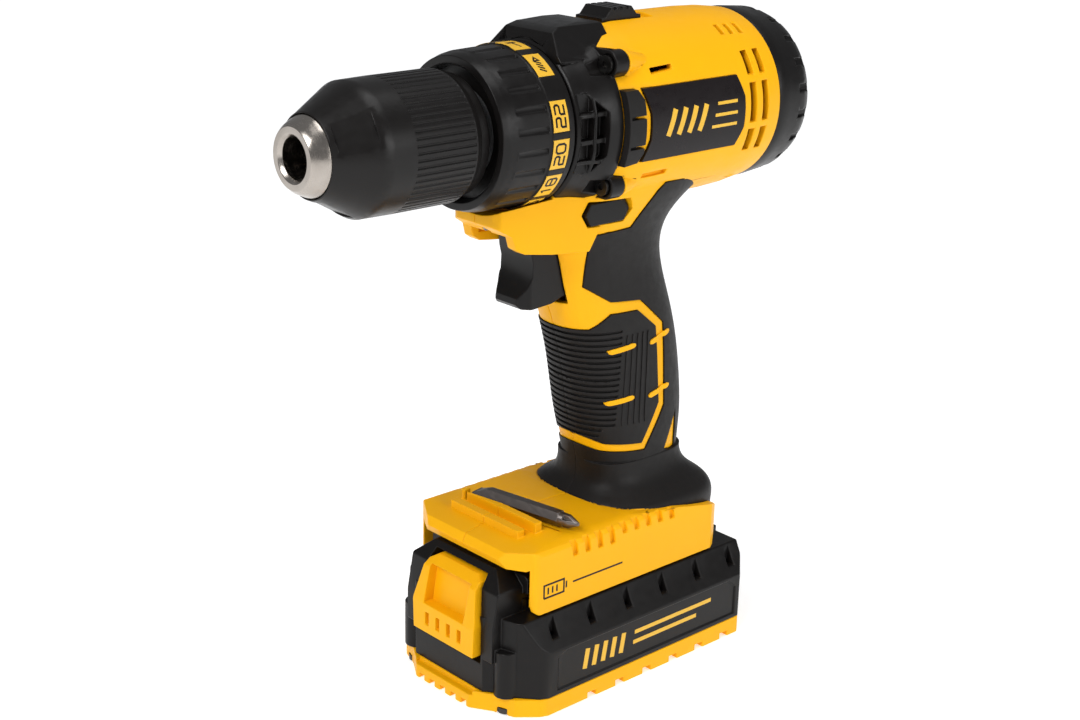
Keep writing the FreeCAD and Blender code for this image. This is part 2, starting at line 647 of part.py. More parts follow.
badge_outline = [(8.6, 195.4), (6.0, 203.0), (6.0, 212.0), (8.6, 220.4), (-38.5, 220.4), (-41.2, 213.0),
                 (-41.2, 202.0), (-38.5, 195.4)]
badge = rod_x(barrel_radius + 0.35, -45, 9).cut(rod_x(barrel_radius - 1.2, -46, 10))
badge = badge.common(prism_y(badge_outline, 5, 60))
write("side_badges", group([badge, mirrored(badge)]))

half = outer.common(box(-70, 70, 0, 60, 30, 260))
half = half.cut(barrel_core).cut(handle_core).cut(nose_core).cut(foot_core)
webs = fused([tube_x(31.5, gearcase_outer + run_gap, 10.8, 12.8), tube_x(31.5, can_radius + run_gap, -20, -18),
              tube_x(31.5, can_radius + run_gap, -58, -56)])
webs = webs.common(box(-70, 70, 0, 60, 182.0, 250)).cut(box(-70, 70, -1, 4, axis_height + 19, 250))
# Screws that hold the two halves are driven from the right side into these bosses
screw_places = ((41.5, 174.5, 14.8), (-16.0, 143.0, 14.8), (-24.0, 95.0, 17.0), (-50.0, 184.0, 22.5),
                (-8.0, 73.0, 16.0))
bosses = [rod_y(4.0, 0, depth - 2.4, x, z) for x, z, depth in screw_places]
rail = box(-36.0, 49.5, 24.4, 30.0, foot_bottom, 41.0)
half = fused([half, webs.cut(cover_clear), rail] + bosses)
half = half.cut(grip_cut).cut(grip_patch).cut(badge)

# Openings in the shell
half = half.cut(box(2.5, 62, -1, trigger_half_width + 0.4, 141.6, 171.2))
button_outline = [(2.2, 176.2), (4.6, 172.2), (20.6, 172.2), (23.0, 176.2), (20.6, 180.2), (4.6, 180.2)]
button_clear = [(1.6, 176.2), (4.3, 171.7), (20.9, 171.7), (23.6, 176.2), (20.9, 180.7), (4.3, 180.7)]
half = half.cut(prism_y(button_clear, 5, 40))
half = half.cut(box(-19.0, 8.9, -1, 7.2, 238.8, 250)).cut(box(-15.0, 4.0, -1, 2.6, 230, 250))
vent_rows = ((192.4, 200.4), (203.0, 217.0), (219.6, 227.6))
for x in (-46.6, -53.4):
    for z0, z1 in vent_rows:
        half = half.cut(box(x - 1.7, x + 1.7, 20, 40, z0, z1))
for i in range(3):
    slit = box(-42.6 - 5.0 * i, -40.6 - 5.0 * i, -2.6, 2.6, axis_height + 28, axis_height + 40)
    half = half.cut(about_axis(slit, -34.0))
half = half.cut(prism_y([(2.2, 224.2), (-8.6, 225.0), (-8.6, 226.6), (2.2, 226.2)], 20, 40))
half = half.cut(prism_y([(4.3, 188.6), (-7.0, 188.9), (-7.0, 190.6), (4.3, 190.2)], 26.6, 40))
for i in range(9):
    x = 35.0 - 6.2 * i
    height = 7.6 if i < 4 else 4.8
    slit = prism_y([(x + 1.4, 63.9 - 0.3 * i), (x - 1.4, 63.9 - 0.3 * i), (x - 2.6, 63.6 - 0.3 * i - height),
                    (x - 0.2, 63.6 - 0.3 * i - height)], half_foot - 1.6, 40)
    half = half.cut(slit)
ridges = [box(46.6, 50.0, 0, 18.6, 58.0, 65.2), box(39.9, 43.2, 0, 20.4, 58.0, 67.0), box(28.0, 30.4, 0, 5.0, 58.0, 66.6)]
half = fused([half] + ridges)

bit_middle = V(35.3, 7.0, 66.6)
bit_length = 47.0
bit_across = 5.4
bit_angle = 10.0


def hexagon_y(across, y0, y1):
    radius = across / math.sqrt(3)
    outline = [(radius * math.cos(math.pi / 3 * k), radius * math.sin(math.pi / 3 * k)) for k in range(6)]
    return prism_y(outline, y0, y1)


bit_half = bit_length / 2
bit = hexagon_y(bit_across, -bit_half, bit_half)
point = fused([rod_y(2.6, 0, bit_half, 0, 0)]).common(
    Part.makeCone(4.4, 0.6, 8.0, V(0, bit_half - 8.0, 0), V(0, 1, 0)))
bit = fused([bit.common(box(-9, 9, -bit_half, bit_half - 8.0, -9, 9)), point])
for angle in (45, 135, 225, 315):
    notch = box(1.0, 6, bit_half - 6.0, bit_half + 1, -6, -1.0)
    notch.rotate(V(0, 0, 0), V(0, 1, 0), angle + 45)
    bit = bit.cut(notch)
blade_cut = prism_x([(-bit_half - 1, 0.45), (-bit_half + 1.0, 0.5), (-bit_half + 8, 3.4), (-bit_half - 1, 3.4)], -9, 9)
bit = bit.cut(blade_cut).cut(blade_cut.mirror(V(0, 0, 0), V(0, 0, 1)))
bit.rotate(V(0, 0, 0), V(0, 0, 1), bit_angle)
bit.translate(bit_middle)
write("screwdriver_bit", bit)
bit_clear = box(-3.5, 3.5, -26.5, 26.5, -3.4, 8)
bit_clear.rotate(V(0, 0, 0), V(0, 0, 1), bit_angle)
bit_clear.translate(bit_middle)
half_left = half.cut(bit_clear)
half_right = mirrored(half).cut(bit_clear)

screws = []
for x, z, depth in screw_places:
    seat = depth - 3.0
    half_left = half_left.cut(rod_y(1.5, -1, seat - 1.0, x, z))
    half_right = half_right.cut(rod_y(screw_seat_radius, -60, -seat, x, z)).cut(rod_y(1.6, -60, 1, x, z))
    screw = fused([rod_y(3.1, -seat - 2.2, -seat, x, z), rod_y(1.5, -seat - 0.1, seat - 1.5, x, z)])
    screws.append(screw.cut(rod_y(1.1, -seat - 3, -seat - 1.0, x, z)))
write("housing_screws", group(screws))
grip_right = [mirrored(s) for s in grip_left]
for x, z, depth in screw_places:
    grip_right[0] = grip_right[0].cut(rod_y(screw_seat_radius + 0.1, -60, 0, x, z))
write("grip_left", group(grip_left))
write("grip_right", group(grip_right))
led_slope = math.radians(35)
led_axis = V(math.cos(led_slope), 0, -math.sin(led_slope))
led_start = V(45.0, 0, 176.6)
led_length = 6.4
led = fused([Part.makeCylinder(1.6, led_length, led_start, led_axis),
             Part.makeCone(1.6, 0.8, 1.3, led_start + led_axis * led_length, led_axis)])
led_seat = box(0, led_length + 3, -1.66, 1.66, -1.66, 1.66)
led_seat.rotate(V(0, 0, 0), V(0, 1, 0), math.degrees(led_slope))
led_seat.translate(led_start)
half_left = half_left.cut(led_seat)
half_right = half_right.cut(led_seat)
for y, z in ear_places:
    half_left = half_left.cut(rod_x(1.5, 4.0, 14.0, y, z))
    half_right = half_right.cut(rod_x(1.5, 4.0, 14.0, y, z))
write("led_lens", led)
write("housing_left", half_left)
write("housing_right", half_right)

rear_cap = turned([
    (-62.6, 28.9), (-62.6, 31.5), (-66.0, 31.9), (-77.0, 31.0), (-80.5, 29.6), (-83.2, 26.6), (cap_rear, 24.5),
    (cap_rear, 0), (cap_rear + 2.4, 0), (cap_rear + 2.4, 24.0), (-80.0, 26.6), (-76.0, 28.4)])
for cut in ring_of(box(-84.5, -74.5, -1.3, 1.3, axis_height + 29.4, axis_height + 36), 20, 9.0):
    rear_cap = rear_cap.cut(cut)
for z in (-12.0, -6.0, 0.0, 6.0, 12.0):
    rear_cap = rear_cap.cut(box(-85, -80, -11, 11, axis_height + z - 1.1, axis_height + z + 1.1))
write("rear_cap", rear_cap)

# ---------------------------------------------------------------- controls

slider = fused([
    prism_y([(-14.0, 239.1), (5.2, 239.1), (5.2, 240.6), (3.4, 240.8), (0.6, 243.9), (-9.4, 243.9), (-12.0, 241.0),
             (-14.0, 240.7)], -6.6, 6.6),
    box(-6.0, -2.0, -2.2, 2.2, 229.0, 239.2), box(-6.0, 8.3, -2.2, 2.2, 228.2, 229.6),
    rod_z(1.0, 225.9, 228.4, (groove_rear + groove_front) / 2, 0)])
for x in (-7.4, -4.4, -1.4):
    slider = slider.cut(box(x - 0.5, x + 0.5, -7, 7, 243.2, 245))
write("speed_slider", slider)

trigger_side = [(39.6, 169.6), (37.8, 165.0), (36.2, 159.0), (36.4, 154.0), (38.2, 150.0), (41.0, 146.4),
                (41.3, 144.2), (39.6, 142.5), (36.0, 142.2), (27.0, 142.8), (22.0, 144.5), (10.0, 146.0),
                (10.0, 169.6)]
trigger = prism_y(trigger_side, -trigger_half_width, trigger_half_width)
trigger = trigger.common(prism_z(both_sides([
    (43, 0), (43, 4.0), (40.0, 6.4), (37.0, trigger_half_width), (5, trigger_half_width), (5, 0)]), 130, 180))
trigger = trigger.cut(box(2, 30, -6.4, 6.4, 147.5, 167.5))
write("trigger", trigger)
write("switch_module", fused([box(-18.0, 2.2, -9.5, 9.5, 148.5, 169.0), rod_x(3.0, 2.0, 22.0, 0, 158.0)]).common(
    box(-19, 9.8 + 12, -10, 10, 140, 170)))
button = prism_y(button_outline, -20.6, 20.6)
button = button.cut(box(0, 30, -14.0, 14.0, 170, 174.2)).cut(box(0, 30, -14.0, 14.0, 178.6, 182))
button = button.cut(box(0, 7.0, -14, 14, 170, 182)).cut(box(18.0, 30, -14, 14, 170, 182))
write("direction_button", button)

# ---------------------------------------------------------------- battery

case_plan = both_sides([(battery_front, 0), (battery_front, 19.0), (61.8, 24.0), (60.0, 30.0), (54.0, 36.6),
                        (51.0, battery_width / 2), (-50.0, battery_width / 2), (battery_rear, 34.0), (battery_rear, 0)])
half_case = battery_width / 2
case_end = [(-half_case, tray_height), (half_case, tray_height), (half_case, 25.0), (34.4, 31.0), (31.6, 36.6),
            (-31.6, 36.6), (-34.4, 31.0), (-half_case, 25.0)]
case = prism_z(case_plan, tray_height, 37.0).common(prism_x(case_end, -60, 70))
tower_end = [(-24, 33), (24, 33), (24, 36), (23.6, 41.4), (26.6, 42.0), (26.6, 49.6), (24.6, tower_top),
             (-24.6, tower_top), (-26.6, 49.6), (-26.6, 42.0), (-23.6, 41.4), (-24, 36)]
tower = prism_x(tower_end, -36.5, 52.0)
frame_end = [(-24.0, 20), (24.0, 20), (24.0, 46.5), (17.0, 52.6), (-17.0, 52.6), (-24.0, 46.5)]
frame_side = [(52.0, 20), (battery_front, 20), (battery_front, 33.0), (63.6, 46.0), (58.0, 53.0), (52.0, 53.0)]
front_frame = prism_x(frame_end, 51.0, battery_front).common(prism_y(frame_side, -30, 30))
case = fused([case, tower, front_frame, rod_z(4.6, tray_height, 25.0, 60.2, 25.4), rod_z(4.6, tray_height, 25.0, 60.2, -25.4),
              box(-58.5, -50.0, -17.0, 17.0, 26.0, 36.0)])
case = case.cut(box(-45.6, 80, half_foot - 8.0, 33.4, 36.9, 44.0)).cut(box(-45.6, 80, -33.4, -half_foot + 8.0, 36.9, 44.0))
case_hollow = prism_z(both_sides([(48.0, 0), (48.0, 35.6), (-51.0, 35.6), (-51.0, 0)]), 0, 29.6)
case_hollow = case_hollow.common(prism_x([(-35.4, 0), (35.4, 0), (35.4, 25.0), (31.0, 29.6), (-31.0, 29.6), (-35.4, 25.0)],
                                         -60, 70))
case = case.cut(case_hollow).cut(box(-30.0, 40.0, -20.0, 20.0, 29.0, 47.6))
for k in range(-1, 5):
    x = cell_pitch * (k - 1.5) + cell_middle
    for side in (1, -1):
        y0, y1 = sorted((side * 31.9, side * 36.4))
        case = case.cut(prism_y([(x - 1.5, 40), (x - 1.5, 28.6), (x + 1.5, 28.6), (x + 1.5, 40)], y0, y1))
latch_clear = [(-17.6, 18.0), (17.6, 18.0), (17.6, 33.0), (14.2, 50.4), (-14.2, 50.4), (-17.6, 33.0)]
case = case.cut(prism_x(latch_clear, 52.4, 80))
label_recess = prism_y([(46.5, 9.0), (46.5, 22.0), (42.0, 24.0), (-43.0, 24.0), (-47.5, 20.5), (-47.5, 9.0)],
                       half_case - 0.5, half_case + 1)
case = case.cut(label_recess).cut(mirrored(label_recess))
contact_rows = (-9.0, -3.0, 3.0, 9.0)
for y in contact_rows:
    case = case.cut(box(-40, -10.0, y - 1.0, y + 1.0, 43.0, 60))
case_screw_places = ((60.2, 25.4), (60.2, -25.4), (-50.4, 31.0), (-50.4, -31.0))
case = fused([case] + [rod_z(2.4, tray_height, 20.0, x, y) for x, y in case_screw_places[2:]])
for x, y in case_screw_places:
    case = case.cut(rod_z(1.5, 0, 20.0, x, y))
write("battery_case", case)

tray_plan = both_sides([(69.0, 0), (69.0, 15.0), (64.0, 23.0), (61.0, 31.0), (54.0, 36.8), (51.0, half_case),
                        (-50.0, half_case), (battery_rear, 34.0), (battery_rear, 0)])
tray = prism_z(tray_plan, 0, tray_height)
tray = tray.cut(prism_z(both_sides([(48.0, 0), (48.0, 35.6), (-46.0, 35.6), (-46.0, 26.0), (-51.0, 26.0), (-51.0, 0)]), 2.6, 20))
for x in (29.2, 14.9, 0.6, -13.7, -28.0, -42.3):
    for side in (1, -1):
        y0, y1 = sorted((side * (half_case - 4.0), side * (half_case + 1)))
        tray = tray.cut(box(x - 2.0, x + 2.0, y0, y1, -1, 2.2))
for y in (-12.0, -6.0, 0.0, 6.0, 12.0):
    tray = tray.cut(box(66.0, 70, y - 1.4, y + 1.4, -1, 2.2))
tray = tray.cut(prism_z(both_sides([(66.2, 0), (66.2, 16.0), (80, 16.0), (80, 0)]), 5.4, 8))
for x, y in case_screw_places:
    tray = tray.cut(rod_z(1.6, -1, 9, x, y)).cut(rod_z(3.3, -1, 2.4, x, y))
write("battery_tray", tray)
battery_screws = []
for x, y in case_screw_places:
    screw = fused([rod_z(3.1, 0.4, 2.4, x, y), rod_z(1.4, 2.2, 16.0, x, y)])
    battery_screws.append(screw.cut(rod_z(1.1, 0, 1.4, x, y)))
write("battery_screws", group(battery_screws))
cells = []
for k in range(cell_count):
    x = cell_pitch * (k - 2) + cell_middle
    cells.append(fused([rod_y(cell_radius, -cell_length / 2, cell_length / 2 - 1.0, x, cell_height),
                        rod_y(2.9, cell_length / 2 - 1.2, cell_length / 2, x, cell_height)]))
write("battery_cells", group(cells))
contacts = [box(-28.0, 38.0, -18.0, 18.0, 29.9, 31.5), box(-8.6, 12.0, -12.0, 12.0, 31.5, 47.6)]
write("battery_board", fused(contacts))

latch = prism_y([(56.0, 20.4), (69.0, 20.4), (69.0, 31.5), (66.0, 45.6), (61.5, 49.6), (56.0, 49.6)], -20, 20)
latch = latch.common(prism_x([(-16.6, 18.0), (16.6, 18.0), (17.2, 32.6), (14.0, 47.6), (11.0, 49.6), (-11.0, 49.6),
                              (-14.0, 47.6), (-17.2, 32.6)], 50, 80))
latch = latch.cut(prism_y([(64.4, 32.0), (80, 32.0), (80, 46.4), (62.0, 46.4)], -11.0, 11.0))
for y in contact_rows:
    latch = latch.cut(box(66.6, 70, y - 1.0, y + 1.0, 23.6, 28.6))
write("battery_latch", latch)

terminal_block = box(-33.5, -14.0, -14.0, 14.0, tower_top + 0.4, 53.2)
write("terminal_block", terminal_block)
blades = [box(-33.0, -14.5, y - 0.4, y + 0.4, 44.2, tower_top + 0.4) for y in contact_rows]
write("terminal_blades", group(blades))
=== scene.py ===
import json
import math

import bmesh
import bpy
from mathutils import Matrix, Vector
from mathutils.bvhtree import BVHTree


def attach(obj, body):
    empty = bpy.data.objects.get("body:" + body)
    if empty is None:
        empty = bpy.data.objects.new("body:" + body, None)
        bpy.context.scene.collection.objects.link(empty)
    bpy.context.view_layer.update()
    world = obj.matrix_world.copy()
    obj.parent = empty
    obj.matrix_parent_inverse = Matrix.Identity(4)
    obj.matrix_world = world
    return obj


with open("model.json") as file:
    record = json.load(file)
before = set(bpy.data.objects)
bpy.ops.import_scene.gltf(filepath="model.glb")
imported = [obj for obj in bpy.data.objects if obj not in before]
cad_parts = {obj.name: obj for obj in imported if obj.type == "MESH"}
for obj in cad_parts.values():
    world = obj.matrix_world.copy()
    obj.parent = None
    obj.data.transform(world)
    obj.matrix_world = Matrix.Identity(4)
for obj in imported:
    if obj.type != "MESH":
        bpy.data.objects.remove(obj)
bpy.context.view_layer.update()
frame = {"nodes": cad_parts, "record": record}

nodes = frame["nodes"]
mm = 0.001
barrel_axis = 207.0  # height in mm of the line that the chuck, collar and motor turn about


# ------------------------------------------------------------------ camera, floor and light

def place_camera():
    """Three-quarter view from the front left, a little above."""
    eye = Vector((437.98, 446.39, 328.70)) * mm
    azimuth, elevation, roll = math.radians(47.16), math.radians(19.01), math.radians(1.41)
    back = Vector((math.cos(elevation) * math.cos(azimuth),
                   math.cos(elevation) * math.sin(azimuth), math.sin(elevation)))
    level = Vector((0, 0, 1)).cross(back).normalized()
    upright = back.cross(level)
    right = math.cos(roll) * level + math.sin(roll) * upright
    up = math.cos(roll) * upright - math.sin(roll) * level
    sensor_width, focal_length = 36.0, 59.45
    lens = bpy.data.cameras.new("camera")
    lens.sensor_width = sensor_width
    lens.lens = focal_length
    lens.clip_start = 10 * mm
    camera = bpy.data.objects.new("camera", lens)
    camera.matrix_world = Matrix((
        (right.x, up.x, back.x, eye.x), (right.y, up.y, back.y, eye.y),
        (right.z, up.z, back.z, eye.z), (0, 0, 0, 1)))
    bpy.context.scene.collection.objects.link(camera)
    bpy.context.scene.camera = camera


def softbox(name, place, target, size, power):
    """A rectangular lamp turned towards the target."""
    lamp = bpy.data.lights.new(name, "AREA")
    lamp.shape = "RECTANGLE"
    lamp.size, lamp.size_y = size
    lamp.energy = power
    holder = bpy.data.objects.new(name, lamp)
    holder.location = place
    holder.rotation_euler = (Vector(target) - Vector(place)).to_track_quat("-Z", "Y").to_euler()
    bpy.context.scene.collection.objects.link(holder)


def light_studio():
    """White studio: key from the front, fill from the left, a soft top light."""
    scene = bpy.context.scene
    scene.view_settings.view_transform = "Standard"
    world = bpy.data.worlds.new("studio")
    scene.world = world
    world.use_nodes = True
    surround = world.node_tree.nodes["Background"]
    surround.inputs["Color"].default_value = (0.95, 0.97, 1.0, 1)
    surround.inputs["Strength"].default_value = 0.27
    middle = (0.02, 0.0, 0.12)
    softbox("key", (1.15, 0.25, 1.15), middle, (0.7, 0.7), 14.5)
    softbox("fill", (-0.35, 1.35, 0.55), middle, (0.8, 0.6), 7)
    softbox("top", (-0.2, 0.1, 1.5), middle, (0.8, 0.8), 6.5)


# ------------------------------------------------------------------ shader node groups

class Bench:
    """Adds nodes to one tree with short calls."""

    def __init__(self, tree):
        self.tree = tree

    def add(self, kind, **values):
        node = self.tree.nodes.new(kind)
        for key, value in values.items():
            setattr(node, key, value)
        return node

    def wire(self, source, target):
        self.tree.links.new(source, target)

    def put(self, socket, value):
        if hasattr(value, "is_linked"):
            self.wire(value, socket)
        else:
            socket.default_value = value

    def math(self, operation, *values, clamp=False):
        node = self.add("ShaderNodeMath", operation=operation, use_clamp=clamp)
        for socket, value in zip(node.inputs, values):
            self.put(socket, value)
        return node.outputs[0]

    def vector(self, operation, *values):
        node = self.add("ShaderNodeVectorMath", operation=operation)
        for socket, value in zip(node.inputs, values):
            self.put(socket, value)
        single = operation in ("DOT_PRODUCT", "LENGTH")
        return node.outputs["Value" if single else "Vector"]

    def noise(self, vector, scale, detail=2.0, rough=0.5):
        node = self.add("ShaderNodeTexNoise")
        self.put(node.inputs["Vector"], vector)
        self.put(node.inputs["Scale"], scale)
        node.inputs["Detail"].default_value = detail
        node.inputs["Roughness"].default_value = rough
        return node.outputs["Fac"]

    def remap(self, value, low, high, new_low=0.0, new_high=1.0):
        node = self.add("ShaderNodeMapRange")
        for label, number in (("Value", value), ("From Min", low), ("From Max", high),
                              ("To Min", new_low), ("To Max", new_high)):
            self.put(node.inputs[label], number)
        return node.outputs["Result"]

    def blend(self, share, first, second):
        """Mixes two colours; a colour mix has its own sockets after the number and vector ones."""
        factor, colour_a, colour_b, colour_out = 0, 6, 7, 2
        node = self.add("ShaderNodeMix", data_type="RGBA")
        self.put(node.inputs[factor], share)
        self.put(node.inputs[colour_a], first)
        self.put(node.inputs[colour_b], second)
        return node.outputs[colour_out]

    def millimetres(self):
        place = self.add("ShaderNodeTexCoord")
        return self.vector("MULTIPLY", place.outputs["Object"], (1000, 1000, 1000))


def effect(name, inputs, outputs, fill):
    """One shader node group: named inputs with their usual values, named outputs."""
    tree = bpy.data.node_groups.new(name, "ShaderNodeTree")
    for label, value in inputs.items():
        socket = tree.interface.new_socket(name=label, in_out="INPUT", socket_type="NodeSocketFloat")
        socket.default_value = value
    for label in outputs:
        tree.interface.new_socket(name=label, in_out="OUTPUT", socket_type="NodeSocketFloat")
    bench = Bench(tree)
    entry, leave = bench.add("NodeGroupInput"), bench.add("NodeGroupOutput")
    for label, value in fill(bench, entry.outputs).items():
        bench.wire(value, leave.inputs[label])
    return tree


def fill_grain(b, given):
    """Spark-eroded mould texture: fine pits with a slower unevenness under them."""
    place = b.millimetres()
    pits = b.noise(place, b.math("DIVIDE", 1.0, given["Size"]), 3.0, 0.6)
    drift = b.noise(place, 0.06, 4.0, 0.55)
    gloss = b.noise(place, 0.35, 3.0, 0.6)
    return {"Height": b.math("MULTIPLY", pits, given["Depth"]), "Mottle": drift, "Gloss": gloss}


def fill_rub(b, given):
    """Edges and corners rubbed by handling, broken up so that no edge is worn evenly."""
    rounded = b.add("ShaderNodeBevel", samples=4)
    b.put(rounded.inputs["Radius"], b.math("MULTIPLY", given["Width"], 0.001))
    flat = b.add("ShaderNodeNewGeometry")
    turn = b.vector("DOT_PRODUCT", rounded.outputs["Normal"], flat.outputs["Normal"])
    edge = b.remap(turn, 0.995, 0.86)
    place = b.millimetres()
    patches = b.remap(b.noise(place, 0.16, 5.0, 0.65), 0.42, 0.68)
    return {"Mask": b.math("MULTIPLY", b.math("MULTIPLY", edge, patches), given["Amount"], clamp=True)}


def fill_scuffs(b, given):
    """Short fine scratches lying mostly one way."""
    place = b.millimetres()
    lean = b.add("ShaderNodeMapping")
    b.wire(place, lean.inputs["Vector"])
    lean.inputs["Rotation"].default_value = (0.3, 0.5, 0.9)
    lean.inputs["Scale"].default_value = (0.10, 6.0, 6.0)
    lines = b.remap(b.noise(lean.outputs["Vector"], 1.0, 2.0, 0.5), 0.70, 0.74)
    where = b.remap(b.noise(place, 0.09, 2.0, 0.5), 0.5, 0.62)
    return {"Mask": b.math("MULTIPLY", b.math("MULTIPLY", lines, where), given["Amount"], clamp=True)}


def fill_turning(b, given):
    """Lathe lines: fine rings round the X axis."""
    place = b.millimetres()
    along = b.vector("MULTIPLY", place, (1, 0, 0))
    rings = b.noise(along, b.math("DIVIDE", 1.0, given["Pitch"]), 2.0, 0.5)
    return {"Height": b.math("MULTIPLY", rings, given["Depth"]), "Rings": rings}


grain = effect("mould_grain", {"Size": 0.3, "Depth": 1.0}, ("Height", "Mottle", "Gloss"), fill_grain)
rub = effect("edge_rub", {"Width": 0.5, "Amount": 0.5}, ("Mask",), fill_rub)
scuffs = effect("scuffs", {"Amount": 0.5}, ("Mask",), fill_scuffs)
turning = effect("lathe_rings", {"Pitch": 0.12, "Depth": 1.0}, ("Height", "Rings"), fill_turning)


# ------------------------------------------------------------------ finishes

def use(bench, tree, **values):
    node = bench.add("ShaderNodeGroup", node_tree=tree)
    for label, value in values.items():
        bench.put(node.inputs[label], value)
    return node.outputs


def start_material(name):
    material = bpy.data.materials.new(name)
    material.use_nodes = True
    bench = Bench(material.node_tree)
    shader = material.node_tree.nodes["Principled BSDF"]
    return material, bench, shader


def plastic(name, colour, deep, worn, gloss, grain_size, grain_depth, rubbing=0.35, scratches=0.2,
            specular=0.5):
    """Moulded plastic or rubber: grain, slow colour drift, rubbed edges, a few scuffs."""
    material, b, shader = start_material(name)
    skin = use(b, grain, Size=grain_size, Depth=1.0)
    edge = use(b, rub, Amount=rubbing)["Mask"]
    marks = use(b, scuffs, Amount=scratches)["Mask"]
    base = b.blend(skin["Mottle"], (*colour, 1), (*deep, 1))
    base = b.blend(edge, base, (*worn, 1))
    base = b.blend(b.math("MULTIPLY", marks, 0.5), base, (*worn, 1))
    b.wire(base, shader.inputs["Base Color"])
    rough = b.remap(skin["Gloss"], 0.3, 0.7, gloss - 0.05, gloss + 0.06)
    rough = b.math("ADD", rough, b.math("MULTIPLY", edge, -0.08))
    rough = b.math("ADD", rough, b.math("MULTIPLY", marks, 0.12), clamp=True)
    b.wire(rough, shader.inputs["Roughness"])
    shader.inputs["Specular IOR Level"].default_value = specular
    bump = b.add("ShaderNodeBump")
    bump.inputs["Strength"].default_value = 0.35
    bump.inputs["Distance"].default_value = grain_depth * mm
    b.wire(b.math("SUBTRACT", skin["Height"], b.math("MULTIPLY", marks, 0.12)), bump.inputs["Height"])
    b.wire(bump.outputs["Normal"], shader.inputs["Normal"])
    return material


def metal(name, colour, deep, gloss, pitch, depth, stain=0.3, worn=(0.7, 0.68, 0.65)):
    """Machined or pressed metal: tool lines, stains, bright edges."""
    material, b, shader = start_material(name)
    lines = use(b, turning, Pitch=pitch, Depth=1.0)
    skin = use(b, grain, Size=0.5, Depth=1.0)
    edge = use(b, rub, Width=0.35, Amount=0.3)["Mask"]
    marks = use(b, scuffs, Amount=0.6)["Mask"]
    base = b.blend(b.math("MULTIPLY", b.remap(skin["Mottle"], 0.4, 0.65), stain), (*colour, 1), (*deep, 1))
    base = b.blend(edge, base, (*worn, 1))
    b.wire(base, shader.inputs["Base Color"])
    shader.inputs["Metallic"].default_value = 1.0
    rough = b.remap(skin["Gloss"], 0.3, 0.7, gloss - 0.06, gloss + 0.08)
    rough = b.math("ADD", rough, b.remap(lines["Rings"], 0.3, 0.7, -0.05, 0.07))
    rough = b.math("ADD", rough, b.math("MULTIPLY", marks, 0.1), clamp=True)
    b.wire(rough, shader.inputs["Roughness"])
    bump = b.add("ShaderNodeBump")
    bump.inputs["Strength"].default_value = 0.4
    bump.inputs["Distance"].default_value = depth * mm
    b.wire(b.math("SUBTRACT", lines["Height"], marks), bump.inputs["Height"])
    b.wire(bump.outputs["Normal"], shader.inputs["Normal"])
    return material


